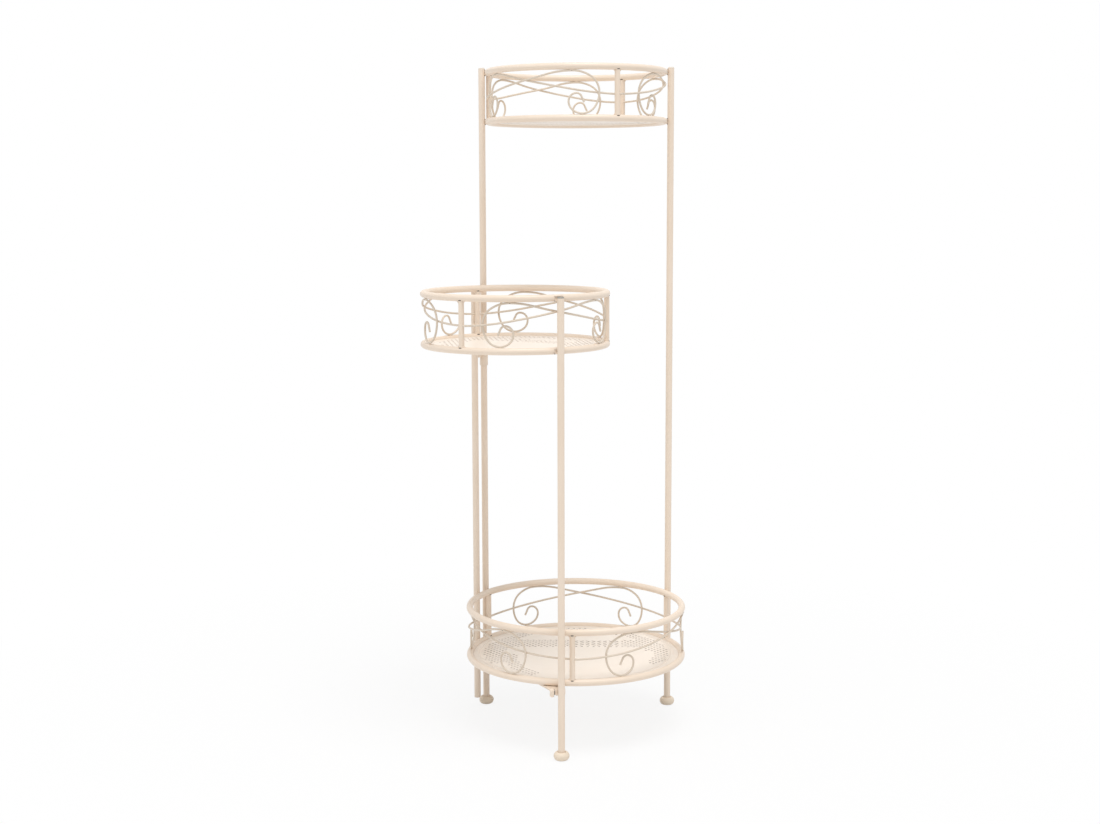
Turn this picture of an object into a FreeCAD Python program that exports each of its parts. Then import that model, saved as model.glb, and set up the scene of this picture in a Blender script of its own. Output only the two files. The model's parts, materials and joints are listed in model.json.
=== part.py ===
import FreeCAD, Part
import math
import os

from FreeCAD import Rotation, Vector

# Three-tier folding plant stand of painted steel tube, in millimetres, +Z up.
# The left back pole is the hinge pole. The plan is laid out with that pole at (0, 0),
# the right back pole on +X and the front of the stand towards -Y. Finished solids are then
# moved so that the origin lies under the middle of the bounding box, on the floor.

# ---- driving dimensions ----
STAND_HEIGHT = 1000.0
POLE_DIAMETER = 10.0
POLE_WALL = 1.0
RING_TUBE_DIAMETER = 10.0
RING_TUBE_WALL = 1.0
SMALL_TRAY_RADIUS = 134.3        # ring centre line of the top and middle trays
TRAY_DEPTH = 74.0                # lower ring centre to upper ring centre
TOP_RING_DROP = 7.6              # pole top to the top tray's upper ring centre
MIDDLE_RING_HEIGHT = 665.0       # upper ring centre above the floor
BOTTOM_RING_HEIGHT = 184.0       # upper ring centre above the floor
SIDE_FRAME_TOP_RISE = 2.0        # front and hinge-side pole tops above the middle ring centre
SIDE_POLE_BOTTOM = 15.0          # the pole beside the hinge pole ends here, without a foot
SIDE_POLE_OFFSET = (-13.0, -17.0)   # its place from the hinge pole, in plan
OPENING_ANGLE = 61.2             # side frame from back frame, with the stand set up
FRONT_POLE_GAP = 5.0             # bottom tray ring to front pole, surface to surface

BAR_DIAMETER = 8.0
TRAY_TURN = {"top": 27.3, "middle": -31.5, "bottom": -1.0}   # first bar, degrees from the front
WIRE_DIAMETER = 3.0
PLATE_THICKNESS = 1.0
BEAD_WIDTH = 5.0                 # round bead pressed down into each plate
BEAD_DEPTH = 1.2
BEAD_INSET = 10.0                # bead centre line inside the ring tube

# scroll outline, measured along the ring from the middle of a section and up from the lower ring
SCROLL_TOP_AT = 73.0
SCROLL_OUTER_AT = 112.0
SCROLL_BOTTOM_AT = 87.0
CURL_INNER_AT = 67.5
CURL_TOP_AT = 79.0
CURL_END_AT = 90.0
SCROLL_OUTER_LEVEL = 0.50        # these levels are shares of the tray's depth
CURL_INNER_LEVEL = 0.32
CURL_TOP_LEVEL = 0.48
CURL_END_LEVEL = 0.30
TAIL_CROSS_LEVEL = 0.745
TAIL_END_LEVEL = 0.47
TAIL_CROSS_SLOPE = 0.20
TAIL_END_SLOPE = 0.03
# scrolls welded out of their usual place, by distance towards the nearer bar
SCROLL_SHIFT = {"bottom_left_1": 8.0, "bottom_right_3": -12.0, "middle_left_1": -4.5, "middle_right_2": -6.0,
                "middle_right_3": -20.0, "top_left_1": -12.0, "top_left_2": -10.0}

FOOT_DIAMETER = 23.0
FOOT_HEIGHT = 12.0
FOOT_BASE_DIAMETER = 16.0
FOOT_NECK_DIAMETER = 15.0
FOOT_SOLE = 4.0                  # material under the pole's end
CAP_THICKNESS = 2.0
CAP_PLUG_LENGTH = 8.0

KNUCKLE_WALL = 1.0               # sleeves that turn on the hinge pole
KNUCKLE_LENGTH = 24.0
KNUCKLE_DROP = {"bottom": 26.0, "middle": 23.0}   # top of a sleeve below this tray's lower ring centre
STRAP_THICKNESS = 3.0
COLLAR_WALL = 1.9
COLLAR_HEIGHT = 5.0

STRIP_WIDTH = 24.0               # flat strips across each frame, which carry the bottom tray
STRIP_THICKNESS = 2.5
STRIP_SHIFT = 3.0                # strip centre line towards the front of the stand from its poles
LUG_LENGTH = 12.0                # bent lug between a strip's end and its pole
LUG_BEND = 4.0                   # outside radius of the bend
EAR_DROP = 12.0                  # the lug's two outer ears, down from the strip's top
TONGUE_DROP = 9.0                # the tongue between them, which is welded to the pole
TONGUE_WIDTH = 9.0
LUG_SLIT = 1.5

WELD_GAP = 0.1                   # parts of one frame that are welded together
RUNNING_FIT = 0.1                # hinge knuckle bore on the hinge pole, per side
SLIDE_GAP = 0.3                  # bottom tray to what it slides past or rests on

# ---- values worked out from them ----
pole_r = POLE_DIAMETER / 2
ring_r = RING_TUBE_DIAMETER / 2
wire_r = WIRE_DIAMETER / 2
pole_spacing = 2 * (SMALL_TRAY_RADIUS + ring_r + pole_r + WELD_GAP)
hinge_pole = Vector(0, 0, 0)
right_pole = Vector(pole_spacing, 0, 0)
side_pole = Vector(SIDE_POLE_OFFSET[0], SIDE_POLE_OFFSET[1], 0)
opening = math.radians(OPENING_ANGLE)
front_pole = side_pole + Vector(math.cos(opening), -math.sin(opening), 0) * pole_spacing
side_frame_top = MIDDLE_RING_HEIGHT + SIDE_FRAME_TOP_RISE
upper_ring_z = {"top": STAND_HEIGHT - TOP_RING_DROP, "middle": MIDDLE_RING_HEIGHT,
                "bottom": BOTTOM_RING_HEIGHT}
pole_bottom = FOOT_SOLE + WELD_GAP
strip_top = BOTTOM_RING_HEIGHT - TRAY_DEPTH - ring_r - SLIDE_GAP


def bottom_tray_centre(radius):
    """Centre of a bottom tray of this radius that rests against both back poles."""
    reach = radius + ring_r + pole_r + SLIDE_GAP
    return Vector(pole_spacing / 2, -math.sqrt(reach ** 2 - (pole_spacing / 2) ** 2), 0)


def fitted_bottom_radius():
    """Radius that leaves FRONT_POLE_GAP at the front pole, by halving the range."""
    small, large = pole_spacing / 2, pole_spacing
    for _ in range(60):
        radius = (small + large) / 2
        room = (front_pole - bottom_tray_centre(radius)).Length - radius - ring_r - pole_r
        if room > FRONT_POLE_GAP:
            small = radius
        else:
            large = radius
    return radius


bottom_radius = fitted_bottom_radius()
tray_radius = {"top": SMALL_TRAY_RADIUS, "middle": SMALL_TRAY_RADIUS, "bottom": bottom_radius}
tray_centre = {"top": (hinge_pole + right_pole) * 0.5, "middle": (front_pole + side_pole) * 0.5,
               "bottom": bottom_tray_centre(bottom_radius)}


def plan_origin():
    """Middle of the stand's outline in plan."""
    rounds = [(tray_centre[t], tray_radius[t] + ring_r) for t in tray_centre]
    rounds += [(p, FOOT_DIAMETER / 2) for p in (hinge_pole, right_pole, front_pole)]
    xs = [c.x + side * r for c, r in rounds for side in (-1, 1)]
    ys = [c.y + side * r for c, r in rounds for side in (-1, 1)]
    return Vector((min(xs) + max(xs)) / 2, (min(ys) + max(ys)) / 2, 0)


origin = plan_origin()


def save(name, shape):
    """Move a finished solid into the stand's frame and write it."""
    moved = shape.copy()
    moved.translate(origin * -1)
    moved.exportStep("parts/%s.step" % name)


def cylinder(centre, radius, bottom, top):
    return Part.makeCylinder(radius, top - bottom, Vector(centre.x, centre.y, bottom))


def tube(centre, outer_r, inner_r, bottom, top):
    return cylinder(centre, outer_r, bottom, top).cut(cylinder(centre, inner_r, bottom, top))


def revolve(centre, edges):
    """Turn a closed outline in the XZ plane about the upright axis through centre."""
    solid = Part.Face(Part.Wire(edges)).revolve(Vector(), Vector(0, 0, 1), 360)
    solid.translate(Vector(centre.x, centre.y, 0))
    return solid


def line(a, b):
    return Part.LineSegment(a, b).toShape()


def arc(a, middle, b):
    return Part.Arc(a, middle, b).toShape()


# ---- poles, caps and feet ----
def pole(name, centre, bottom, top):
    save(name, tube(centre, pole_r, pole_r - POLE_WALL, bottom, top - CAP_THICKNESS))


def pole_cap(name, centre, top):
    """Cap with a rounded rim and a plug that goes down inside the pole."""
    seat = top - CAP_THICKNESS + WELD_GAP
    round_r = top - seat
    plug_r = pole_r - POLE_WALL - WELD_GAP
    corners = [Vector(0, 0, seat - CAP_PLUG_LENGTH), Vector(plug_r, 0, seat - CAP_PLUG_LENGTH),
               Vector(plug_r, 0, seat), Vector(pole_r, 0, seat)]
    edges = [line(a, b) for a, b in zip(corners, corners[1:])]
    rim_middle = Vector(pole_r - round_r * (1 - math.sqrt(0.5)), 0, seat + round_r * math.sqrt(0.5))
    rim_top = Vector(pole_r - round_r, 0, top)
    edges += [arc(corners[-1], rim_middle, rim_top), line(rim_top, Vector(0, 0, top)),
              line(Vector(0, 0, top), corners[0])]
    save(name, revolve(centre, edges))


def foot(name, centre):
    """Bun foot with a socket for the pole's end."""
    base_r, neck_r, wide_r = FOOT_BASE_DIAMETER / 2, FOOT_NECK_DIAMETER / 2, FOOT_DIAMETER / 2
    base, neck = Vector(base_r, 0, 0), Vector(neck_r, 0, FOOT_HEIGHT)
    edges = [line(Vector(0, 0, 0), base),
             arc(base, Vector(wide_r, 0, FOOT_HEIGHT * 0.45), neck),
             line(neck, Vector(0, 0, FOOT_HEIGHT)),
             line(Vector(0, 0, FOOT_HEIGHT), Vector(0, 0, 0))]
    socket = cylinder(centre, pole_r + WELD_GAP, FOOT_SOLE, FOOT_HEIGHT + 1)
    save(name, revolve(centre, edges).cut(socket))


# ---- trays ----
def torus(tray, tube_r, z):
    """Solid torus on a tray's ring centre line at height z."""
    return Part.makeTorus(tray_radius[tray], tube_r, Vector(tray_centre[tray].x, tray_centre[tray].y, z))


def ring(tray, z):
    """Closed ring of bent tube, hollow all the way round."""
    return torus(tray, ring_r, z).cut(torus(tray, ring_r - RING_TUBE_WALL, z))


def on_ring(tray, radius, degrees, z):
    """Point at an angle from the front, positive to the right."""
    angle = math.radians(degrees)
    return tray_centre[tray] + Vector(radius * math.sin(angle), -radius * math.cos(angle), z)


def plate(tray, z):
    """Round sheet inside the lower ring, with a pressed bead near its edge."""
    edge = tray_radius[tray] - ring_r - WELD_GAP
    low, high = z - PLATE_THICKNESS / 2, z + PLATE_THICKNESS / 2
    bead, half = edge - BEAD_INSET, BEAD_WIDTH / 2

    def side(level, start, end):
        left, right = Vector(bead - half, 0, level), Vector(bead + half, 0, level)
        trough = arc(left, Vector(bead, 0, level - BEAD_DEPTH), right)
        return [line(Vector(start, 0, level), left), trough, line(right, Vector(end, 0, level))]

    edges = side(low, 0, edge) + [line(Vector(edge, 0, low), Vector(edge, 0, high))]
    edges += side(high, 0, edge) + [line(Vector(0, 0, high), Vector(0, 0, low))]
    return revolve(tray_centre[tray], Part.__sortEdges__(edges))


def bar(tray, degrees, low, high):
    """Upright bar between the two rings, its ends shaped to the ring tubes."""
    rod = cylinder(on_ring(tray, tray_radius[tray], degrees, 0), BAR_DIAMETER / 2, low, high)
    for z in (low, high):
        rod = rod.cut(torus(tray, ring_r + WELD_GAP, z))
    return rod


def biarc(a, ta, b, tb):
    """Two arcs that leave a along ta and reach b along tb, as [(start, middle, end, end tangent)]."""
    v, sum_t = b - a, ta + tb
    quad, lin = 2 * (ta.dot(tb) - 1), -2 * v.dot(sum_t)
    if abs(quad) < 1e-9:
        d = v.dot(v) / -lin
    else:
        d = (-lin - math.sqrt(lin * lin - 4 * quad * v.dot(v))) / (2 * quad)
    corner_a, corner_b = a + ta * d, b - tb * d
    joint = (corner_a + corner_b) * 0.5
    halves = []
    for start, corner, end in ((a, corner_a, joint), (joint, corner_b, b)):
        chord = end - start
        weight = chord.dot(corner - start) / (chord.Length * (corner - start).Length)
        middle = ((start + end) * 0.5 + corner * weight) * (1 / (1 + weight))
        halves.append((start, middle, end, (end - corner).normalize()))
    return halves


def scroll_outline(tray, shift):
    """Points and directions of one scroll, flattened: x along the ring, y up from the lower ring."""
    depth = TRAY_DEPTH
    touch = math.sqrt((ring_r + wire_r + WELD_GAP) ** 2 - (wire_r + WELD_GAP) ** 2)
    far_bar = math.radians(60) * tray_radius[tray] - BAR_DIAMETER / 4
    return [(-far_bar, depth * TAIL_END_LEVEL, 1, TAIL_END_SLOPE),
            (0, depth * TAIL_CROSS_LEVEL, 1, TAIL_CROSS_SLOPE),
            (SCROLL_TOP_AT + shift, depth - touch, 1, 0),
            (SCROLL_OUTER_AT + shift, depth * SCROLL_OUTER_LEVEL, 0, -1),
            (SCROLL_BOTTOM_AT + shift, touch, -1, 0),
            (CURL_INNER_AT + shift, depth * CURL_INNER_LEVEL, 0, 1),
            (CURL_TOP_AT + shift, depth * CURL_TOP_LEVEL, 1, 0),
            (CURL_END_AT + shift, depth * CURL_END_LEVEL, 0.45, -0.89)]


def flat_knots(tray, shift):
    """The outline's arc ends and middles with their directions, still flattened."""
    outline = [(Vector(x, y, 0), Vector(dx, dy, 0).normalize())
               for x, y, dx, dy in scroll_outline(tray, shift)]
    knots = [outline[0]]
    for (a, ta), (b, tb) in zip(outline, outline[1:]):
        for start, middle, end, direction in biarc(a, ta, b, tb):
            chord = (end - start).normalize()
            knots += [(middle, chord), (end, direction)]
    return knots


def scroll(tray, section, hand, shift, z):
    """One scroll wire bent round the tray, hand +1 or -1 for the two mirror images.

    Its long tail runs into the far bar, and is cut there to the bar's round side.
    """
    radius = tray_radius[tray] + hand * (wire_r + WELD_GAP)
    knots = []
    for point, direction in flat_knots(tray, shift):
        angle = math.radians(section) + hand * point.x / tray_radius[tray]
        stretch = radius / tray_radius[tray]
        along = Vector(math.cos(angle), math.sin(angle), 0) * (hand * direction.x * stretch)
        place = on_ring(tray, radius, math.degrees(angle), z + point.y)
        knots.append((place, (along + Vector(0, 0, direction.y)).normalize()))
    edges = []
    for (a, ta), (b, tb) in zip(knots, knots[1:]):
        edges += [arc(start, middle, end) for start, middle, end, _ in biarc(a, ta, b, tb)]
    start, direction = knots[0]
    profile = Part.Wire([Part.Circle(start, direction, wire_r).toShape()])
    wire = Part.Wire(edges).makePipeShell([profile], True, False)
    bar_at = on_ring(tray, tray_radius[tray], section - 60 * hand, 0)
    return wire.cut(cylinder(bar_at, BAR_DIAMETER / 2 + WELD_GAP, z, z + TRAY_DEPTH))


def tray_parts(tray):
    """Write the two rings, plate, three bars and six scrolls of one tray."""
    high = upper_ring_z[tray]
    low = high - TRAY_DEPTH
    save("%s_tray_upper_ring" % tray, ring(tray, high))
    save("%s_tray_lower_ring" % tray, ring(tray, low))
    save("%s_tray_plate" % tray, plate(tray, low))
    for number in range(3):
        first = TRAY_TURN[tray] + 120 * number
        save("%s_tray_bar_%d" % (tray, number + 1), bar(tray, first, low, high))
        for hand, side in ((1, "right"), (-1, "left")):
            shift = SCROLL_SHIFT.get("%s_%s_%d" % (tray, side, number + 1), 0)
            name = "%s_tray_scroll_%s_%d" % (tray, side, number + 1)
            save(name, scroll(tray, first + 60, hand, shift, low))


# ---- hinge between the side frame and the hinge pole ----
def knuckle_top(tray):
    return upper_ring_z[tray] - TRAY_DEPTH - KNUCKLE_DROP[tray]


def hinge_knuckle(name, tray):
    """Sleeve that turns on the hinge pole, with a strap welded to the side pole."""
    top = knuckle_top(tray)
    bottom = top - KNUCKLE_LENGTH
    bore_r = pole_r + RUNNING_FIT
    sleeve = cylinder(hinge_pole, bore_r + KNUCKLE_WALL, bottom, top)
    reach = side_pole.Length
    strap = Part.makeBox(reach, STRAP_THICKNESS, top - bottom, Vector(0, -STRAP_THICKNESS / 2, bottom))
    strap.rotate(Vector(), Vector(0, 0, 1), math.degrees(math.atan2(side_pole.y, side_pole.x)))
    body = sleeve.fuse(strap).cut(cylinder(hinge_pole, bore_r, bottom, top))
    body = body.cut(cylinder(side_pole, pole_r + WELD_GAP, bottom, top)).removeSplitter()
    save(name, max(body.Solids, key=lambda solid: solid.Volume))


def hinge_collar(name):
    """Stop collar that carries the lower knuckle on the hinge pole."""
    top = knuckle_top("bottom") - KNUCKLE_LENGTH - SLIDE_GAP
    bore_r = pole_r + WELD_GAP
    save(name, tube(hinge_pole, bore_r + COLLAR_WALL, bore_r, top - COLLAR_HEIGHT, top))


# ---- strips under the bottom tray, from pole to pole, and their bent lugs ----
def from_pole(shape, pole_centre, towards, front):
    """Move a shape drawn with the pole at the origin and the strip along +X to its pole.

    front is the side of the strip that faces the front of the stand: 1 for +Y, -1 for -Y.
    """
    way = towards - pole_centre
    shape.translate(Vector(0, front * STRIP_SHIFT, 0))
    shape.rotate(Vector(), Vector(0, 0, 1), math.degrees(math.atan2(way.y, way.x)))
    shape.translate(pole_centre)
    return shape


def strip(name, start, end, front):
    """Flat strip between the lugs of two poles."""
    inset = pole_r + LUG_LENGTH + 2 * WELD_GAP
    corner = Vector(inset, -STRIP_WIDTH / 2, strip_top - STRIP_THICKNESS)
    flat = Part.makeBox((end - start).Length - 2 * inset, STRIP_WIDTH, STRIP_THICKNESS, corner)
    save(name, from_pole(flat, start, end, front))


def bent_sheet(near, far, low):
    """Sheet that stands at near from low up to the bend and then lies flat out to far."""
    outer, inner = LUG_BEND, LUG_BEND - STRIP_THICKNESS
    bend_x, bend_z = near + outer, strip_top - outer
    diagonal = math.sqrt(0.5)

    def at(x, z):
        return Vector(x, -STRIP_WIDTH / 2, z)

    def quarter(radius):
        return [at(bend_x - radius, bend_z), at(bend_x - radius * diagonal, bend_z + radius * diagonal),
                at(bend_x, bend_z + radius)]

    upper, lower = quarter(outer), quarter(inner)
    edges = [line(at(near, low), upper[0]), arc(*upper), line(upper[2], at(far, strip_top)),
             line(at(far, strip_top), at(far, strip_top - STRIP_THICKNESS)),
             line(at(far, strip_top - STRIP_THICKNESS), lower[2]), arc(*lower[::-1]),
             line(lower[0], at(near + STRIP_THICKNESS, low)),
             line(at(near + STRIP_THICKNESS, low), at(near, low))]
    return Part.Face(Part.Wire(edges)).extrude(Vector(0, STRIP_WIDTH, 0))


def lug(name, pole_centre, towards, front):
    """Bent end of a strip: a tongue welded to the pole, between two longer, round-ended ears."""
    near = pole_r + WELD_GAP
    low = strip_top - EAR_DROP
    body = bent_sheet(near, near + LUG_LENGTH, low)
    gap_at = TONGUE_WIDTH / 2 + LUG_SLIT
    short = EAR_DROP - TONGUE_DROP
    body = body.cut(Part.makeBox(LUG_BEND, 2 * gap_at, short, Vector(near, -gap_at, low)))
    for y in (-gap_at, TONGUE_WIDTH / 2):
        body = body.cut(Part.makeBox(LUG_BEND, LUG_SLIT, EAR_DROP, Vector(near, y, low)))
    ear_ends = [edge for edge in body.Edges
                if abs(edge.BoundBox.ZMax - low) < 1e-6 and edge.BoundBox.XLength > edge.BoundBox.YLength]
    body = body.makeFillet(0.48 * (STRIP_WIDTH / 2 - gap_at), ear_ends)
    save(name, from_pole(body, pole_centre, towards, front))


def build():
    os.makedirs("parts", exist_ok=True)
    pole("left_back_pole", hinge_pole, pole_bottom, STAND_HEIGHT)
    pole("right_back_pole", right_pole, pole_bottom, STAND_HEIGHT)
    pole("front_pole", front_pole, pole_bottom, side_frame_top)
    pole("side_pole", side_pole, SIDE_POLE_BOTTOM, side_frame_top)
    pole_cap("left_back_pole_cap", hinge_pole, STAND_HEIGHT)
    pole_cap("right_back_pole_cap", right_pole, STAND_HEIGHT)
    pole_cap("front_pole_cap", front_pole, side_frame_top)
    pole_cap("side_pole_cap", side_pole, side_frame_top)
    foot("left_back_foot", hinge_pole)
    foot("right_back_foot", right_pole)
    foot("front_foot", front_pole)
    for tray in ("top", "middle", "bottom"):
        tray_parts(tray)
    hinge_knuckle("hinge_knuckle_lower", "bottom")
    hinge_knuckle("hinge_knuckle_upper", "middle")
    hinge_collar("hinge_stop_collar")
    strip("back_frame_strip", hinge_pole, right_pole, -1)
    strip("side_frame_strip", side_pole, front_pole, -1)
    lug("strip_lug_left_back", hinge_pole, right_pole, -1)
    lug("strip_lug_right_back", right_pole, hinge_pole, 1)
    lug("strip_lug_side", side_pole, front_pole, -1)
    lug("strip_lug_front", front_pole, side_pole, 1)


build()
print("pole spacing %.2f, bottom tray radius %.2f" % (pole_spacing, bottom_radius))
print("origin in plan %.2f %.2f" % (origin.x, origin.y))
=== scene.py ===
# %% [markdown]
# # A three-tier plant stand in cream powder coat
#
# The stand is slim steel tube and wire: three round trays, four poles, and a scroll in every gap.
# The steel frame comes ready made, as one object per real piece, each in its true place in metres.
# This lesson gives those pieces their finish, and models what a frame of plain solids leaves out:
# the punched lace in the tray floors, the weld beads, and little dark dots of painted shade in tight
# joints.
# The frame is loaded first, because every later step measures itself from it.

# %% Load the steel frame
import json
import math

import bmesh
import bpy
from mathutils import Matrix, Vector

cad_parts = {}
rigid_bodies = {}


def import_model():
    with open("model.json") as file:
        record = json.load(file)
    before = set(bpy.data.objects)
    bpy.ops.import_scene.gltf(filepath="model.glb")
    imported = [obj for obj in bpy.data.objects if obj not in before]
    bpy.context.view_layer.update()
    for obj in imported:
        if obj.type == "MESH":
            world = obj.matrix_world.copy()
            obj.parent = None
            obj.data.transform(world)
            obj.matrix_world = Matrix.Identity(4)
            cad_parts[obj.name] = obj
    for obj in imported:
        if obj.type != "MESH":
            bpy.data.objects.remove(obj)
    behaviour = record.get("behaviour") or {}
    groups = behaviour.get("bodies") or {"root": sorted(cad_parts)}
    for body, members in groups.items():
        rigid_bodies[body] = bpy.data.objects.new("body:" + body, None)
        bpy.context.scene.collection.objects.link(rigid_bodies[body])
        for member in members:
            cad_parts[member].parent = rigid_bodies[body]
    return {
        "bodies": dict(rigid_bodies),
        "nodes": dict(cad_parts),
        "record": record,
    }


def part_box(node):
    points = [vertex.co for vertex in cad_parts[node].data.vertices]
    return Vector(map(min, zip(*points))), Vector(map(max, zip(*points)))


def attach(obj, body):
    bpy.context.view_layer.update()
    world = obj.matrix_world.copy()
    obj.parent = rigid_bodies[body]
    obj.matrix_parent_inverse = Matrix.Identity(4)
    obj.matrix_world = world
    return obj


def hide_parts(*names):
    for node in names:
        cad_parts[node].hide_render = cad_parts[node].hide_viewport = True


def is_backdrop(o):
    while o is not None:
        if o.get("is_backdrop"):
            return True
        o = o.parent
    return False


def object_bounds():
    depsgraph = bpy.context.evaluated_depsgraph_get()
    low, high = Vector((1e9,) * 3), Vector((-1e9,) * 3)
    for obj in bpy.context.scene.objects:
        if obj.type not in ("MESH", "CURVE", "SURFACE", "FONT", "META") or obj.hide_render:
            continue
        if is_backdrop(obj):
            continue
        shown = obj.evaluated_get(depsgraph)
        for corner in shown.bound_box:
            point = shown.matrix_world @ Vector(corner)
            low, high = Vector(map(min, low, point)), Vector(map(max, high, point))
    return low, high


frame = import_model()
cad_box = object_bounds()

MM = 0.001
nodes = frame["nodes"]
record = frame["record"]
body_of_node = {name: body for body, names in record["behaviour"]["bodies"].items() for name in names}
print("stand", [round(high - low, 3) for low, high in zip(*cad_box)], "metres, in", len(nodes), "pieces")

# %% [markdown]
# ## The camera
#
# The picture was taken from about two and a half metres away, a little above the middle tray, with
# a lens near 55 mm. That is why the middle tray's rim looks nearly flat while the bottom tray opens
# into a wide ellipse. A camera is three turns: the swing about the vertical, the tilt down from the
# horizon, and a trace of roll. It is set before anything else is made.

# %% Set up the camera
PICTURE_WIDTH = 1100             # pixels
FOCAL_PIXELS = 1676.5
CAMERA_PLACE = (0.0633, -2.5304, 0.8101)
SWING, TILT, ROLL = math.radians(1.641), math.radians(82.562), math.radians(-0.162)

lens = bpy.data.cameras.new("picture_camera")
lens.sensor_width = 36
lens.lens = FOCAL_PIXELS / PICTURE_WIDTH * lens.sensor_width
camera = bpy.data.objects.new("picture_camera", lens)
bpy.context.scene.collection.objects.link(camera)

swing = Matrix.Rotation(SWING, 4, "Z")
tilt = Matrix.Rotation(TILT, 4, "X")
roll = Matrix.Rotation(ROLL, 4, "Z")
camera.matrix_world = Matrix.Translation(CAMERA_PLACE) @ swing @ tilt @ roll
bpy.context.scene.camera = camera
print("lens", round(lens.lens, 2), "mm")

# %% [markdown]
# ## Light and floor
#
# The stand was lit like most goods on white: a broad soft light high above and a little in front, a
# weak one at the left front, and white all round. The tray floors and the tops of the rings are
# the palest parts. Even the bottom floor is bright, so the high light is broad enough to reach in
# under the middle tray. Two round area lamps give this, and the world's own glow fills the shadows.
# The white behind the stand isn't made with more light, which would bleach the cream. Instead the
# floor and the world answer the camera's rays, and the rays that mirrors and glass send, with plain
# white, and answer every other ray with their ordinary colour. Near the stand a little of the
# floor's real shading is kept, so the feet still drop a faint shadow. It fades out with distance,
# so no horizon shows where the floor ends.

# %% A value that tells the camera's rays from the others
def seen_directly(tree):
    """A value of 1 for camera, mirror and glass rays, and 0 for the rays that carry light about."""
    path = tree.nodes.new("ShaderNodeLightPath")
    last = path.outputs["Is Camera Ray"]
    for name in ("Is Glossy Ray", "Is Transmission Ray"):
        either = tree.nodes.new("ShaderNodeMath")
        either.operation = "MAXIMUM"
        tree.links.new(last, either.inputs[0])
        tree.links.new(path.outputs[name], either.inputs[1])
        last = either.outputs[0]
    return last


# %% The world's glow
world = bpy.data.worlds.new("white_studio")
bpy.context.scene.world = world
world.use_nodes = True
tree = world.node_tree
glow = tree.nodes["Background"]
glow.inputs["Color"].default_value = (1, 1, 1, 1)
glow.inputs["Strength"].default_value = 0.63
backdrop = tree.nodes.new("ShaderNodeBackground")
backdrop.inputs["Color"].default_value = (1, 1, 1, 1)
backdrop.inputs["Strength"].default_value = 1.0
choice = tree.nodes.new("ShaderNodeMixShader")
tree.links.new(seen_directly(tree), choice.inputs[0])
tree.links.new(glow.outputs[0], choice.inputs[1])
tree.links.new(backdrop.outputs[0], choice.inputs[2])
tree.links.new(choice.outputs[0], tree.nodes["World Output"].inputs["Surface"])
print("world glow", round(glow.inputs["Strength"].default_value, 2))

# %% The lamps
def soft_lamp(name, place, aim, width, power):
    """A round area lamp, with its width in metres and its power in watts."""
    lamp = bpy.data.lights.new(name, "AREA")
    lamp.shape = "DISK"
    lamp.size = width
    lamp.energy = power
    holder = bpy.data.objects.new(name, lamp)
    bpy.context.scene.collection.objects.link(holder)
    holder.location = place
    holder.rotation_euler = (Vector(aim) - Vector(place)).to_track_quat("-Z", "Y").to_euler()


soft_lamp("key_lamp", place=(0.9, -1.9, 7.0), aim=(0, 0, 0), width=4.0, power=245)
soft_lamp("left_front_lamp", place=(-2.2, -1.3, 1.9), aim=(0, 0, 0.4), width=1.8, power=8)
print("lamps", [lamp.name for lamp in bpy.data.lights])

# %% The floor's finish
SHADOW_SHARE = 0.16              # of the floor's real shading, close to the stand
SHADOW_REACH = (0.35, 1.1)       # metres from the middle, from full share to none

floor_finish = bpy.data.materials.new("white_floor")
floor_finish.use_nodes = True
tree = floor_finish.node_tree
tree.nodes.remove(tree.nodes["Principled BSDF"])
real_floor = tree.nodes.new("ShaderNodeBsdfDiffuse")
real_floor.inputs["Color"].default_value = (0.88, 0.88, 0.88, 1)
plain_white = tree.nodes.new("ShaderNodeEmission")
plain_white.inputs["Strength"].default_value = 1.0
where = tree.nodes.new("ShaderNodeTexCoord")
distance = tree.nodes.new("ShaderNodeVectorMath")
distance.operation = "LENGTH"
whiteness = tree.nodes.new("ShaderNodeMapRange")
whiteness.inputs["From Min"].default_value, whiteness.inputs["From Max"].default_value = SHADOW_REACH
whiteness.inputs["To Min"].default_value = 1 - SHADOW_SHARE
share = tree.nodes.new("ShaderNodeMath")
share.operation = "MULTIPLY"
floor_mix = tree.nodes.new("ShaderNodeMixShader")
tree.links.new(where.outputs["Object"], distance.inputs[0])
tree.links.new(distance.outputs["Value"], whiteness.inputs["Value"])
tree.links.new(seen_directly(tree), share.inputs[0])
tree.links.new(whiteness.outputs["Result"], share.inputs[1])
tree.links.new(share.outputs[0], floor_mix.inputs[0])
tree.links.new(real_floor.outputs[0], floor_mix.inputs[1])
tree.links.new(plain_white.outputs[0], floor_mix.inputs[2])
tree.links.new(floor_mix.outputs[0], tree.nodes["Material Output"].inputs["Surface"])
print("shadows fade out from", SHADOW_REACH[0], "to", SHADOW_REACH[1], "metres")

# %% A helper that turns a shape into an object
def object_from(bm, name, *finishes):
    """Put a finished bmesh in the scene as an object, with its finishes in their order."""
    mesh = bpy.data.meshes.new(name)
    bm.to_mesh(mesh)
    bm.free()
    for finish in finishes:
        mesh.materials.append(finish)
    made = bpy.data.objects.new(name, mesh)
    bpy.context.scene.collection.objects.link(made)
    return made


# %% Lay the floor
FLOOR_REACH = 6                  # metres from the middle to each edge

ground = bmesh.new()
bmesh.ops.create_grid(ground, x_segments=2, y_segments=2, size=FLOOR_REACH)
floor = object_from(ground, "floor", floor_finish)
floor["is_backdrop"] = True
print("floor", floor.dimensions.x, "metres wide")
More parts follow.
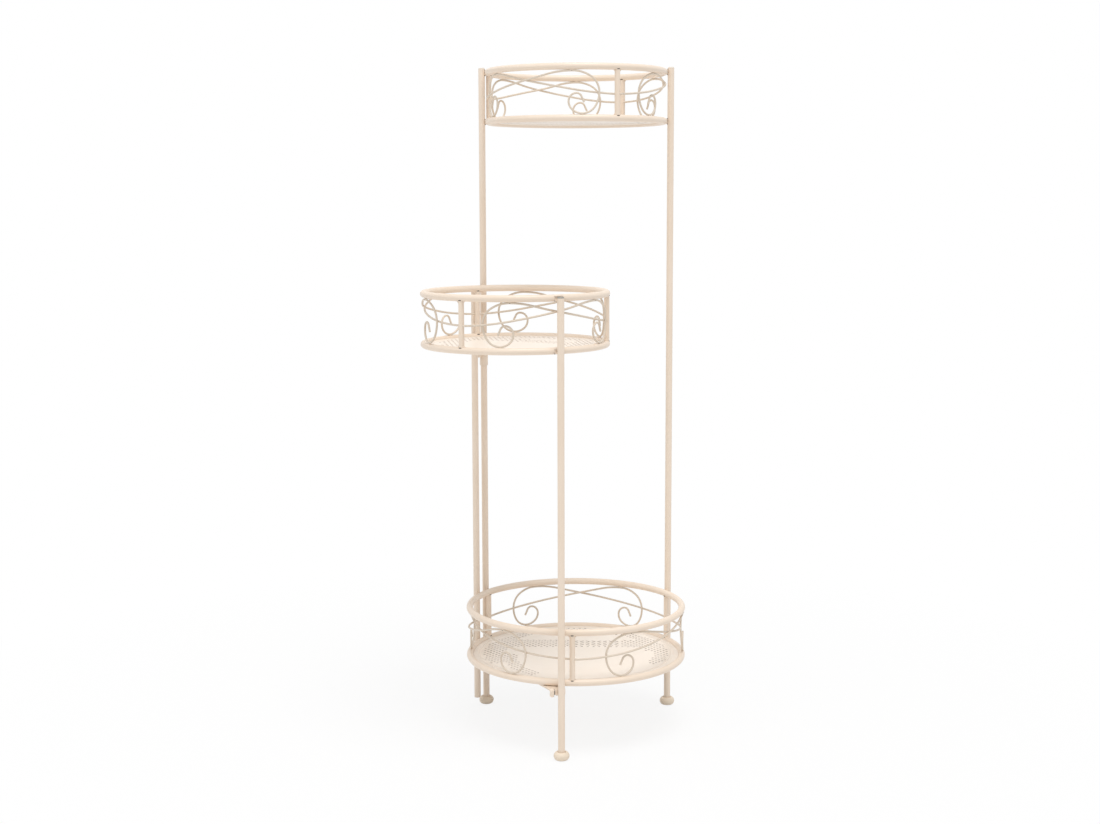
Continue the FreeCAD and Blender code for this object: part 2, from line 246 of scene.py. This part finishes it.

# %% [markdown]
# ## The finishes
#
# Powder coat is a skin of melted plastic powder. It is smooth to the eye and slightly pebbled to a
# close lens, which painters call orange peel: swells about a millimetre across and a few hundredths
# high. Its colour is even, but it lies thicker in some places than others, so the cream is a touch
# warmer there. Each finish is therefore one shader with three noises in it: a broad one for the
# colour, a middle one for the sheen and a fine one for the peel. All of them read Object
# coordinates, so that the pattern belongs to the metal and doesn't swim when the camera moves.
#
# The stand isn't given one cream all over. The flat sheet gets a paler cream, which is painted light
# for a floor that faces up into the high lamp. The thin wires get a greyer, darker cream, which is
# painted shade for wires lit from above, which look darker than the tubes. The caps on the side frame
# are grey, and those on the two tall back poles are nearly as cream as the tube.

# %% A finish with broad, middle and fine noise
CLOUD_SCALE = 9                  # clouds of colour, about 11 cm across
PATCH_SCALE = 70                 # patches of sheen, about 14 mm across


def noise(tree, coordinates, scale, detail):
    node = tree.nodes.new("ShaderNodeTexNoise")
    node.inputs["Scale"].default_value = scale
    node.inputs["Detail"].default_value = detail
    tree.links.new(coordinates.outputs["Object"], node.inputs["Vector"])
    return node


def finish_of(name, thin, thick, roughness, peel_scale, peel_height, specular=0.5):
    """A painted or moulded surface: two near colours, a range of roughness, and a fine pebble."""
    material = bpy.data.materials.new(name)
    material.use_nodes = True
    tree = material.node_tree
    shader = tree.nodes["Principled BSDF"]
    shader.inputs["Specular IOR Level"].default_value = specular
    place = tree.nodes.new("ShaderNodeTexCoord")

    cloud = noise(tree, place, CLOUD_SCALE, 3)
    colours = tree.nodes.new("ShaderNodeValToRGB")
    colours.color_ramp.elements[0].position = 0.35
    colours.color_ramp.elements[1].position = 0.68
    colours.color_ramp.elements[0].color = (*thin, 1)
    colours.color_ramp.elements[1].color = (*thick, 1)
    tree.links.new(cloud.outputs["Fac"], colours.inputs["Fac"])
    tree.links.new(colours.outputs["Color"], shader.inputs["Base Color"])

    patches = noise(tree, place, PATCH_SCALE, 2)
    sheen = tree.nodes.new("ShaderNodeMapRange")
    sheen.inputs["To Min"].default_value, sheen.inputs["To Max"].default_value = roughness
    tree.links.new(patches.outputs["Fac"], sheen.inputs["Value"])
    tree.links.new(sheen.outputs["Result"], shader.inputs["Roughness"])

    peel = noise(tree, place, peel_scale, 2)
    bump = tree.nodes.new("ShaderNodeBump")
    bump.inputs["Strength"].default_value = 1.0
    bump.inputs["Distance"].default_value = peel_height
    tree.links.new(peel.outputs["Fac"], bump.inputs["Height"])
    tree.links.new(bump.outputs["Normal"], shader.inputs["Normal"])
    return material


# %% Mix the painted finishes
cream_coat = finish_of("cream_powder_coat", thin=(0.875, 0.745, 0.62), thick=(0.85, 0.71, 0.575),
                       roughness=(0.30, 0.44), peel_scale=900, peel_height=0.03 * MM)
# the sheet's paler cream is painted light, for floors that face up into the high lamp
sheet_coat_painted_light = finish_of("paler_cream_on_sheet_painted_light", thin=(0.91, 0.825, 0.735), thick=(0.895, 0.80, 0.70),
                       roughness=(0.34, 0.48), peel_scale=800, peel_height=0.03 * MM)
# the wires' darker, greyer cream is painted shade, for thin wires lit from above
wire_coat_painted_shade = finish_of("darker_cream_on_wire_painted_shade", thin=(0.745, 0.65, 0.54), thick=(0.70, 0.60, 0.49),
                      roughness=(0.36, 0.5), peel_scale=1200, peel_height=0.02 * MM)
print("painted finishes", [finish.name for finish in (cream_coat, sheet_coat_painted_light, wire_coat_painted_shade)])

# %% Mix the finishes of the slots, the plastic and the bare steel
# the dark brown walls inside the slots are painted shade, and the lighter copy is the painted shade of
# more brightly lit floors
slot_wall_painted_shade = finish_of("painted_shade_in_slots", thin=(0.27, 0.195, 0.135), thick=(0.17, 0.12, 0.085),
                      roughness=(0.5, 0.7), peel_scale=2000, peel_height=0.03 * MM, specular=0.3)
slot_wall_lighter_painted_shade = finish_of("lighter_painted_shade_in_slots", thin=(0.56, 0.46, 0.37), thick=(0.48, 0.385, 0.30),
                             roughness=(0.5, 0.7), peel_scale=2000, peel_height=0.03 * MM, specular=0.3)
foot_moulding = finish_of("cream_foot_moulding", thin=(0.86, 0.745, 0.61), thick=(0.82, 0.70, 0.56),
                          roughness=(0.46, 0.58), peel_scale=2200, peel_height=0.02 * MM, specular=0.4)
cap_moulding = finish_of("grey_cap_moulding", thin=(0.36, 0.345, 0.31), thick=(0.32, 0.305, 0.275),
                         roughness=(0.42, 0.55), peel_scale=2200, peel_height=0.02 * MM, specular=0.4)
pale_cap_moulding = finish_of("cream_cap_moulding", thin=(0.80, 0.72, 0.63), thick=(0.76, 0.68, 0.59),
                              roughness=(0.42, 0.55), peel_scale=2200, peel_height=0.02 * MM, specular=0.4)
# a near-black finish for the dark dots of painted shade in tight joints
painted_shade_dot_finish = finish_of("painted_shade_in_joints", thin=(0.060, 0.040, 0.026), thick=(0.035, 0.024, 0.016),
                     roughness=(0.6, 0.8), peel_scale=3000, peel_height=0.05 * MM, specular=0.3)
print("materials in all", len(bpy.data.materials))

# %% Coat the steel pieces
finish_by_slot = {"painted_steel": cream_coat, "painted_sheet": sheet_coat_painted_light, "foot": foot_moulding,
                  "cap": cap_moulding}
slot_of_node = {part["node"]: part["material_slot"] for part in record["subparts"]}
for name, node in nodes.items():
    finish = finish_by_slot[slot_of_node[name]]
    if "_scroll_" in name:
        # the scroll wires take the darker cream of painted shade
        finish = wire_coat_painted_shade
    elif name.endswith("_back_pole_cap"):
        finish = pale_cap_moulding
    node.data.materials.clear()
    node.data.materials.append(finish)
print("coated", len(nodes), "pieces")

# %% [markdown]
# ## The punched tray floors
#
# Each tray has a floor of thin sheet. Small slots are punched through it in lacy bands: a plaited
# border that follows the rim at the back and sides, a straight band across, and a chain that runs
# from one side to the front. Between them the sheet is plain, and near the edge a round bead is
# pressed into it to stiffen it. A punch works in rows, like a printer, so the bands are found as a
# punch finds them: a staggered lattice covers the whole sheet, and only the slots that fall within a
# band are punched. The rows of short slots lean left and right in turn, which gives the lace its
# herringbone. In one stretch of the straight band the slots are long, and lean in pairs.
#
# A picture of holes would look flat from the side and would let no light through. So the holes are
# real: every slot is drawn as a small closed loop, all the loops lie inside one big circle, and a
# triangle fill covers only what lies between them. A Solidify modifier then gives the sheet its
# millimetre, which also makes the little walls inside each slot. The walls get a dark brown finish of
# their own, which is painted shade: seen from low down the walls are all that shows of a slot, and
# that painted shade is why the lace looks drawn in brown. The middle floor shows hardly any lace
# against its bright sheet, so the walls of the two small floors get a lighter painted shade.

# %% Trace where the bands run
SHORT_SLOT = 4.4 * MM
LONG_SLOT = 9.0 * MM
DRAWN_RADIUS = 144.4 * MM        # of the punched disc of the bottom tray, for which the bands are drawn
BORDER_INSET = 13 * MM           # from the disc's edge to the middle of the border
SECOND_INSET = 17 * MM           # from there to the middle of the short bands inside it
PATH_STEP = 3 * MM


def arc_path(radius, first, last):
    """A point for every degree of part of a circle, with 0 at the right and 90 at the back."""
    angles = [math.radians(degree) for degree in range(first, last + 1)]
    return [Vector((radius * math.cos(a), radius * math.sin(a))) for a in angles]


def straight_path(size, *corners):
    """Points a step apart from corner to corner, drawn in millimetres for the bottom tray."""
    path = []
    for start, end in zip(corners, corners[1:]):
        start, end = Vector(start) * size, Vector(end) * size
        steps = max(1, round((end - start).length / PATH_STEP))
        path += [start.lerp(end, step / steps) for step in range(steps + 1)]
    return path


def bands_of(disc_radius):
    """Every band as its middle line, half its width and the length of its slots."""
    size = disc_radius / DRAWN_RADIUS * MM
    border = disc_radius - BORDER_INSET
    second = border - SECOND_INSET
    long_stretch = straight_path(size, (8, 50), (56, 50)), 16 * MM, LONG_SLOT
    rim = arc_path(border, -24, 206), 10.5 * MM, SHORT_SLOT
    left = arc_path(second, 157, 204), 9 * MM, SHORT_SLOT
    right = arc_path(second, 8, 32), 9 * MM, SHORT_SLOT
    across = straight_path(size, (-118, 50), (118, 50)), 20 * MM, SHORT_SLOT
    chain = straight_path(size, (-100, -22), (-97, -52), (-86, -86), (-62, -116)), 11 * MM, SHORT_SLOT
    return [long_stretch, rim, left, right, across, chain]


print("bands in each floor", len(bands_of(DRAWN_RADIUS)))

# %% Pick the slots that fall in a band
SLOT_WIDTH = 2.1 * MM
COLUMN_STEP = 9.0 * MM
ROW_STEP = 5.2 * MM
PLAIN_EDGE = 3 * MM              # no slot's middle is nearer to the disc's edge
CLEAR_OF_LONG = 7.5 * MM         # between the middles of a long slot and a short one
LEAN = {SHORT_SLOT: math.radians(24), LONG_SLOT: math.radians(38)}


def clear_of_long(place, slots):
    """Whether a short slot at this place keeps clear of every long one."""
    long_places = [other for other, _, length in slots.values() if length == LONG_SLOT]
    return all((place - other).length > CLEAR_OF_LONG for other in long_places)


def lace(disc_radius, turn):
    """Place, direction and length of every slot in one floor, from a staggered lattice."""
    rows, columns = int(disc_radius / ROW_STEP), int(disc_radius / COLUMN_STEP) + 1
    lattice = [(row, column, Vector(((column + 0.5 * (row % 2)) * COLUMN_STEP, row * ROW_STEP)))
               for row in range(-rows, rows + 1) for column in range(-columns, columns + 1)]
    lattice = [cell for cell in lattice if cell[2].length < disc_radius - PLAIN_EDGE]
    slots = {}
    for path, reach, length in bands_of(disc_radius):
        for row, column, place in lattice:
            if (row, column) in slots or min((place - point).length for point in path) > reach:
                continue
            if length == LONG_SLOT:
                if row % 2 == 0:
                    slots[row, column] = place, LEAN[length] * (-1) ** (column // 2), length
            elif clear_of_long(place, slots):
                slots[row, column] = place, LEAN[length] * (-1) ** row, length
    spin = Matrix.Rotation(turn, 2)
    return [(spin @ place, turn + lean, length) for place, lean, length in slots.values()]


print("slots in the bottom floor", len(lace(DRAWN_RADIUS, 0)))

# %% Punch the slots out of a disc
EDGE_STEPS = 128
SLOT_STEPS = 8


def punched_disc(disc_radius, turn):
    """The flat middle of a floor, with its slots left open."""
    sheet = bmesh.new()
    bmesh.ops.create_circle(sheet, segments=EDGE_STEPS, radius=disc_radius)
    for place, angle, length in lace(disc_radius, turn):
        stretch = Matrix.Diagonal((length / 2, SLOT_WIDTH / 2, 1, 1))
        where = Matrix.Translation((place.x, place.y, 0)) @ Matrix.Rotation(angle, 4, "Z") @ stretch
        bmesh.ops.create_circle(sheet, segments=SLOT_STEPS, radius=1, matrix=where)
    bmesh.ops.triangle_fill(sheet, edges=sheet.edges[:], use_beauty=True)
    return sheet


# %% Turn the bead and the edge round a disc
BEAD_STEPS = 8
BEAD_INSET = 10 * MM             # from the floor's edge to the middle of the bead
BEAD_WIDTH = 5 * MM
BEAD_DEPTH = 1.2 * MM


def add_bead(sheet, disc_radius, bead, edge_radius):
    """The pressed bead, whose middle runs at a radius called bead, and the flat edge outside it."""
    profile = [(disc_radius, 0)]
    for step in range(1, BEAD_STEPS):
        angle = math.pi * step / BEAD_STEPS
        profile.append((bead - BEAD_WIDTH / 2 * math.cos(angle), -BEAD_DEPTH * math.sin(angle)))
    profile += [(bead + BEAD_WIDTH / 2, 0), (edge_radius, 0)]
    points = [sheet.verts.new((r, 0, z)) for r, z in profile]
    strip = [sheet.edges.new(pair) for pair in zip(points, points[1:])]
    bmesh.ops.spin(sheet, geom=points + strip, axis=(0, 0, 1), cent=(0, 0, 0), angle=2 * math.pi,
                   steps=EDGE_STEPS, use_merge=True)


# %% Make a punched floor
SHEET_MERGE = 0.02 * MM          # joins the disc to the bead
SHEET_THICKNESS = 1 * MM
# the second finish is the painted shade of the slot walls
WALL_FINISH = 1                  # the walls take the second finish of the piece


def punched_floor(tray, turn, wall_painted_shade):
    """One tray's floor, in the place of its plain plate."""
    low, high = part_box(tray + "_tray_plate")
    centre = Vector(((low.x + high.x) / 2, (low.y + high.y) / 2, high.z))
    edge_radius = (high.x - low.x) / 2
    bead = edge_radius - BEAD_INSET
    disc_radius = bead - BEAD_WIDTH / 2

    sheet = punched_disc(disc_radius, turn)
    add_bead(sheet, disc_radius, bead, edge_radius)
    bmesh.ops.remove_doubles(sheet, verts=sheet.verts[:], dist=SHEET_MERGE)
    bmesh.ops.recalc_face_normals(sheet, faces=sheet.faces[:])
    if sum(face.normal.z for face in sheet.faces) < 0:
        bmesh.ops.reverse_faces(sheet, faces=sheet.faces[:])
    bmesh.ops.translate(sheet, verts=sheet.verts[:], vec=centre)

    piece = object_from(sheet, tray + "_tray_punched_floor", sheet_coat_painted_light, wall_painted_shade)
    wall = piece.modifiers.new("sheet thickness", "SOLIDIFY")
    wall.thickness = SHEET_THICKNESS
    wall.offset = -1
    wall.material_offset_rim = WALL_FINISH
    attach(piece, body_of_node[tray + "_tray_plate"])
    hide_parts(tray + "_tray_plate")
    return piece


# %% Punch all three
# the two small floors take the lighter painted shade in their slots, the bottom floor the dark one
floors = {"top": (27, slot_wall_lighter_painted_shade), "middle": (-31, slot_wall_lighter_painted_shade), "bottom": (0, slot_wall_painted_shade)}
for tray, (degrees, wall_painted_shade) in floors.items():
    piece = punched_floor(tray, math.radians(degrees), wall_painted_shade)
    print(piece.name, len(piece.data.polygons), "faces")

# %% [markdown]
# ## Weld beads
#
# The frame is held together by short welds. Under the paint each one is a soft, slightly uneven lump
# that bridges the corner between two round pieces. The lumps are small, but without them the
# joints look as if the pieces only touch. Each lump is a low ball with a few dozen faces, stretched
# along its joint and nudged out of true, and all the lumps of one tray are one mesh.
# Where they go is measured from the frame itself: a scroll wire is welded where it is highest and
# where it is lowest, and a bar at both its ends. Beside the welds, dark dots of painted shade mark the
# tight corners where shade falls. They are the same lumps made small and dark, and they are gathered for
# each body.

# %% Helpers for lumps
LUMP_SIDES = 10
LUMP_ROWS = 7
UNEVENNESS = 0.16                # of a lump's size, as a wave over its corners
CORNER_PHASE = 2.4               # the wave's turn from one corner of a lump to the next
PLACE_PHASE = 900                # and for each metre from one lump to another


def add_lump(bm, place, along, length, width, height):
    """One weld lump: a ball stretched along its joint."""
    turn = Vector(along).to_track_quat("X", "Z").to_matrix().to_4x4()
    sizes = Matrix.Diagonal((length / 2, width / 2, height / 2, 1))
    made = bmesh.ops.create_uvsphere(bm, u_segments=LUMP_SIDES, v_segments=LUMP_ROWS, radius=1,
                                     matrix=Matrix.Translation(place) @ turn @ sizes)
    for i, vert in enumerate(made["verts"]):
        wave = math.sin(i * CORNER_PHASE + place[0] * PLACE_PHASE)
        vert.co += (vert.co - Vector(place)) * UNEVENNESS * wave


def smooth_piece(bm, name, finish, body):
    """Turn a finished bmesh into a smooth piece that rides on a body."""
    bmesh.ops.recalc_face_normals(bm, faces=bm.faces[:])
    piece = object_from(bm, name, finish)
    piece.data.shade_smooth()
    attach(piece, body)
    print(name, len(piece.data.polygons), "faces")
    return piece


# %% Find where a scroll touches the rings
SAME_HEIGHT = 0.15 * MM


def middle_of(name):
    low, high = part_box(name)
    return (low + high) / 2


def end_points(name):
    """Highest and lowest point of a piece, each as the mean of the points within a hair of it."""
    points = [vert.co for vert in nodes[name].data.vertices]
    found = []
    for best in (max(p.z for p in points), min(p.z for p in points)):
        near = [p for p in points if abs(p.z - best) < SAME_HEIGHT]
        found.append(sum(near, Vector()) / len(near))
    return found


high_touch, low_touch = end_points("bottom_tray_scroll_right_1")
print("first scroll is welded at heights", round(high_touch.z, 3), "and", round(low_touch.z, 3))

# %% Measure out the welds and painted shade dots of a tray
TUBE_RADIUS = 5 * MM
BAR_RADIUS = 4 * MM
# Each lump's length, width and height.
WIRE_WELD = (5.5 * MM, 3.0 * MM, 3.0 * MM)
BAR_WELD = (4.2 * MM, 2.6 * MM, 2.6 * MM)
WIRE_SHADE_DOT = (1.1 * MM, 1.1 * MM, 1.1 * MM)
BAR_SHADE_DOT = (4.6 * MM, 1.2 * MM, 1.5 * MM)
# Where the lumps of a joint stand from its middle.
WIRE_SHADE_DOT_OUT = 1.4 * MM
WIRE_SHADE_DOT_DROP = 1.5 * MM
BAR_WELD_SIDE = 4.2 * MM
BAR_WELD_RISE = TUBE_RADIUS + 0.4 * MM
BAR_SHADE_DOT_OUT = BAR_RADIUS - 0.3 * MM
BAR_SHADE_DOT_RISE = 3.6 * MM
shade_dots = {body: bmesh.new() for body in frame["bodies"]}


def outward_and_along(point, hub):
    """The level directions away from a tray's middle and along its ring, at a point."""
    out = Vector((point.x - hub.x, point.y - hub.y, 0)).normalized()
    return out, Vector((-out.y, out.x, 0))


def upward(distance):
    return Vector((0, 0, distance))


print("pits will ride on", sorted(shade_dots))

# %% Weld the scrolls and bars of each tray
for tray in ("top", "middle", "bottom"):
    body = body_of_node[tray + "_tray_upper_ring"]
    welds = bmesh.new()
    hub = middle_of(tray + "_tray_upper_ring")
    ring_level = {"upper": hub.z, "lower": middle_of(tray + "_tray_lower_ring").z}
    for name in [name for name in nodes if name.startswith(tray + "_tray_scroll")]:
        for touch in end_points(name):
            out, along = outward_and_along(touch, hub)
            add_lump(welds, touch, along, *WIRE_WELD)
        # a dark dot of painted shade beside the high weld, where the wire meets the ring
        shade_dot = end_points(name)[0] + out * WIRE_SHADE_DOT_OUT - upward(WIRE_SHADE_DOT_DROP)
        add_lump(shade_dots[body], shade_dot, out, *WIRE_SHADE_DOT)
    for number in (1, 2, 3):
        bar = middle_of("%s_tray_bar_%d" % (tray, number))
        out, along = outward_and_along(bar, hub)
        for ring, sign in (("upper", -1), ("lower", 1)):
            joint = Vector((bar.x, bar.y, ring_level[ring]))
            for hand in (-1, 1):
                corner = joint + along * hand * BAR_WELD_SIDE + upward(sign * BAR_WELD_RISE)
                add_lump(welds, corner, out, *BAR_WELD)
                # and dark dots of painted shade in the seam beside the bar's end
                seam = joint + out * hand * BAR_SHADE_DOT_OUT + upward(sign * BAR_SHADE_DOT_RISE)
                add_lump(shade_dots[body], seam, along, *BAR_SHADE_DOT)
    smooth_piece(welds, tray + "_tray_welds", cream_coat, body)

# %% [markdown]
# ## Where trays meet poles
#
# The top tray hangs between the two back poles, and the middle tray between the poles of the side
# frame. Each ring only kisses its pole, tube against tube, so the welder ran a bead above and below
# the point where they touch. A pin-prick of painted shade marks the tight corner where such a bead stops.
# On the back poles the beads stop close to the pole, and the dots show above and below the ring. On
# the side frame the beads run on along the ring, and the dots show only below it.
# The bottom tray isn't welded: it rests on two strips, so it gets none.

# %% Weld the rings to their poles
POLE_WELD = {"top": 7.0 * MM, "middle": 15.0 * MM}       # length along the ring
POLE_WELD_SECTION = (3.2 * MM, 3.0 * MM)
POLE_WELD_RISE = 2.9 * MM
POLE_SHADE_DOT = (1.2 * MM, 1.2 * MM, 1.2 * MM)
POLE_SHADE_DOT_INSET = 0.8 * MM        # from the end of a bead
POLE_SHADE_DOT_RISE = 4.0 * MM
SHADE_DOT_SIDES = {"top": (-1, 1), "middle": (-1,)}            # -1 is below the ring, 1 above it
poles_of_tray = {"top": ("left_back_pole", "right_back_pole"), "middle": ("front_pole", "side_pole")}
for tray, poles in poles_of_tray.items():
    body = body_of_node[tray + "_tray_upper_ring"]
    welds = bmesh.new()
    for ring in ("upper", "lower"):
        hub = middle_of("%s_tray_%s_ring" % (tray, ring))
        for pole in poles:
            pole_place = middle_of(pole)
            pole_place.z = hub.z
            out, along = outward_and_along(pole_place, hub)
            touch = pole_place - out * TUBE_RADIUS
            for sign in (-1, 1):
                bead = touch + upward(sign * POLE_WELD_RISE)
                add_lump(welds, bead, along, POLE_WELD[tray], *POLE_WELD_SECTION)
            for hand in (-1, 1):
                end = touch + along * hand * (POLE_WELD[tray] / 2 - POLE_SHADE_DOT_INSET)
                # a dot of painted shade at each end of the bead, in the corner between ring and pole
                for sign in SHADE_DOT_SIDES[tray]:
                    add_lump(shade_dots[body], end + upward(sign * POLE_SHADE_DOT_RISE), along, *POLE_SHADE_DOT)
    smooth_piece(welds, tray + "_pole_welds", cream_coat, body)

# %% [markdown]
# ## The hinge and the strip ends
#
# The side frame swings on two sleeves that turn on the left back pole. Each is a short piece of
# tube with a small flat ear, welded across to the side pole. Under the middle tray the sleeve shows
# below its ear, with daylight between the two poles. The sleeve is a turned shape, so it is spun
# from a profile. The ear starts as a cube, and its edges are bevelled as filed steel would be.
# The bottom tray's strips end in bent lugs, each welded to its pole. A slit on either side of a
# lug's tongue lets it bend. Dark lumps of painted shade fill the slits, and a dark spot of painted shade
# marks the strip by each pole, in the gap under the ring.

# %% Measure the hinge
SLEEVE_BORE = 5.25 * MM          # radius of the hole
SLEEVE_RADIUS = 6.35 * MM
SLEEVE_CORNER = 0.35 * MM
SLEEVE_STEPS = 40
EAR_THICKNESS = 2.5 * MM
EAR_HEIGHT = 11 * MM
EAR_CORNER = 0.4 * MM
EAR_WELD = (0.8 * EAR_HEIGHT, 2.4 * MM, 2.4 * MM)
EAR_WELD_INSET = 0.8 * MM
EAR_WELD_SIDE = 1.6 * MM
hinge_axis, side_axis = middle_of("left_back_pole"), middle_of("side_pole")
across = Vector((side_axis.x - hinge_axis.x, side_axis.y - hinge_axis.y, 0))
# The ear starts inside the sleeve's wall and ends just inside the side pole.
EAR_START = SLEEVE_RADIUS - 0.5 * MM
EAR_END = across.length - TUBE_RADIUS + 0.3 * MM
print("each ear is", round((EAR_END - EAR_START) / MM, 1), "mm long")

# %% Make the sleeves
def sleeve(name):
    """A sleeve round the hinge pole, with its ear across to the side pole."""
    low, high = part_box(name)
    bm = bmesh.new()
    profile = [(SLEEVE_BORE, low.z), (SLEEVE_RADIUS - SLEEVE_CORNER, low.z),
               (SLEEVE_RADIUS, low.z + SLEEVE_CORNER), (SLEEVE_RADIUS, high.z - SLEEVE_CORNER),
               (SLEEVE_RADIUS - SLEEVE_CORNER, high.z), (SLEEVE_BORE, high.z)]
    points = [bm.verts.new((r, 0, z)) for r, z in profile]
    loop = [bm.edges.new(pair) for pair in zip(points, points[1:] + points[:1])]
    bmesh.ops.spin(bm, geom=points + loop, axis=(0, 0, 1), cent=(0, 0, 0), angle=2 * math.pi,
                   steps=SLEEVE_STEPS, use_merge=True)
    ear_level = high.z - EAR_HEIGHT / 2
    ear_place = Matrix.Translation(((EAR_START + EAR_END) / 2, 0, ear_level))
    ear_size = Matrix.Diagonal((EAR_END - EAR_START, EAR_THICKNESS, EAR_HEIGHT, 1))
    ear = bmesh.ops.create_cube(bm, size=1, matrix=ear_place @ ear_size)
    edges = list({edge for vert in ear["verts"] for edge in vert.link_edges})
    bmesh.ops.bevel(bm, geom=edges, offset=EAR_CORNER, offset_type="OFFSET", segments=2, profile=0.5,
                    affect="EDGES", material=-1)
    for hand in (-1, 1):
        corner = Vector((EAR_END - EAR_WELD_INSET, hand * EAR_WELD_SIDE, ear_level))
        add_lump(bm, corner, (0, 0, 1), *EAR_WELD)
    turn = Matrix.Rotation(math.atan2(across.y, across.x), 4, "Z")
    to_pole = Matrix.Translation((hinge_axis.x, hinge_axis.y, 0))
    bmesh.ops.transform(bm, verts=bm.verts[:], matrix=to_pole @ turn)
    piece = smooth_piece(bm, name + "_sleeve", cream_coat, body_of_node[name])
    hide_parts(name)


for name in ("hinge_knuckle_lower", "hinge_knuckle_upper"):
    sleeve(name)

# %% Measure out the lugs
STRIP_SHIFT = 3 * MM             # a strip's middle line passes this far beside its poles' axes
LUG_FROM_AXIS = 6 * MM
LUG_WELD = (7.5 * MM, 2.6 * MM, 2.6 * MM)
LUG_WELD_DROP = 9.2 * MM
SLIT_FROM_TONGUE = 5.25 * MM
# the size of the dark lump of painted shade in each slit
SLIT = (10.5 * MM, 1.3 * MM, 1.3 * MM)
SLIT_DROP = 6.6 * MM
SLIT_LEAN = 0.22                 # sideways for each unit of height
SPOT = (1.6 * MM, 1.5 * MM, 1.2 * MM)
SPOT_FROM_AXIS = 12 * MM
# For each lug: its pole, the pole at the strip's other end, and the side to which the strip is shifted.
lugs = {"strip_lug_left_back": ("left_back_pole", "right_back_pole", -1),
        "strip_lug_right_back": ("right_back_pole", "left_back_pole", 1),
        "strip_lug_side": ("side_pole", "front_pole", -1),
        "strip_lug_front": ("front_pole", "side_pole", 1)}
print("lugs", len(lugs))

# %% Weld the lugs and paint shade into the slits
lug_welds = {body: bmesh.new() for body in ("back_frame", "side_frame")}
for lug, (pole, other, shift_side) in lugs.items():
    low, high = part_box(lug)
    body = body_of_node[lug]
    way = middle_of(other) - middle_of(pole)
    way.z = 0
    way.normalize()
    side = Vector((-way.y, way.x, 0))
    shift = side * shift_side * STRIP_SHIFT
    axis = Vector((*middle_of(pole).xy, 0))
    root = axis + way * LUG_FROM_AXIS + shift
    add_lump(lug_welds[body], root + upward(high.z - LUG_WELD_DROP), side, *LUG_WELD)
    for hand in (-1, 1):
        # dark lumps of painted shade in the slits beside the tongue
        slit = root + side * hand * SLIT_FROM_TONGUE + upward(high.z - SLIT_DROP)
        add_lump(shade_dots[body], slit, upward(1) - side * SLIT_LEAN, *SLIT)
    # and a spot of painted shade on the strip, in the gap under the ring
    spot = axis + way * SPOT_FROM_AXIS + shift / 2 + upward(high.z)
    add_lump(shade_dots[body], spot, way, *SPOT)
for body, bm in lug_welds.items():
    smooth_piece(bm, body + "_lug_welds", cream_coat, body)

# %% Gather the dots of painted shade
for body, bm in shade_dots.items():
    smooth_piece(bm, body + "_painted_shade_dots", painted_shade_dot_finish, body)

# %% [markdown]
# ## The feet
#
# Each standing pole ends in a bun-shaped plastic foot. The pole drops into a socket, and round the
# pole the moulding leaves a narrow groove that reads as a dark line. A foot is a turned shape, so
# it is made as on a lathe: half of its outline is drawn, and then spun once about its own axis. The
# bulging side is itself a spun point: a point that is spun about the middle of the bulge draws the
# arc. The rim at the floor is then bevelled, as moulded plastic never has a sharp edge.

# %% Turn the feet
BULGE_MIDDLE = (4.845 * MM, 5.879 * MM)      # distance from the axis, and height
BULGE_START = (8.0 * MM, 0)
BULGE_TURN = math.radians(128.35)
BULGE_STEPS = 12
# Distance from the axis and height, in millimetres, from the bulge's end over the rim into the socket.
INSIDE = [(6.6, 12.0), (6.0, 11.7), (5.7, 9.8), (5.15, 9.3), (5.12, 4.0), (0, 4.0)]
FOOT_STEPS = 48
FOOT_MERGE = 0.01 * MM           # closes the foot where its outline meets the axis
RIM_CORNER = 0.7 * MM


def at_floor_rim(vert):
    """Whether a corner of the mesh lies on the rim that stands on the floor."""
    return abs(vert.co.xy.length - BULGE_START[0]) < 0.05 * MM and vert.co.z < 1 * MM


def turned_foot(name):
    """One foot about its pole's axis, standing on the floor."""
    axis = middle_of(name)
    outline = bmesh.new()
    start = outline.verts.new((BULGE_START[0], 0, BULGE_START[1]))
    middle = (BULGE_MIDDLE[0], 0, BULGE_MIDDLE[1])
    bulge = bmesh.ops.spin(outline, geom=[start], axis=(0, -1, 0), cent=middle, angle=BULGE_TURN,
                           steps=BULGE_STEPS)
    last = next(part for part in bulge["geom_last"] if isinstance(part, bmesh.types.BMVert))
    for r, z in INSIDE:
        point = outline.verts.new((r * MM, 0, z * MM))
        outline.edges.new((last, point))
        last = point
    outline.edges.new((start, outline.verts.new((0, 0, 0))))
    bmesh.ops.spin(outline, geom=outline.verts[:] + outline.edges[:], axis=(0, 0, 1), cent=(0, 0, 0),
                   angle=2 * math.pi, steps=FOOT_STEPS, use_merge=True)
    bmesh.ops.remove_doubles(outline, verts=outline.verts[:], dist=FOOT_MERGE)
    bmesh.ops.recalc_face_normals(outline, faces=outline.faces[:])
    rim = [edge for edge in outline.edges if all(at_floor_rim(vert) for vert in edge.verts)]
    bmesh.ops.bevel(outline, geom=rim, offset=RIM_CORNER, offset_type="OFFSET", segments=3,
                    profile=0.5, affect="EDGES", material=-1)
    bmesh.ops.translate(outline, verts=outline.verts[:], vec=(axis.x, axis.y, 0))
    piece = smooth_piece(outline, name + "_moulding", foot_moulding, body_of_node[name])
    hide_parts(name)


for name in ("left_back_foot", "right_back_foot", "front_foot"):
    turned_foot(name)

# %% [markdown]
# ## Colour and sizes
#
# The Standard view shows a colour as it was mixed, with no film look over it. The last step writes
# the box of the frame and the box of the finished stand side by side, to show that no detail has
# grown out of the real size.

# %% Finish
bpy.context.scene.view_settings.view_transform = "Standard"
visual_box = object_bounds()
for title, (low, high) in (("frame", cad_box), ("finished", visual_box)):
    print(title, [round(v, 4) for v in high - low])
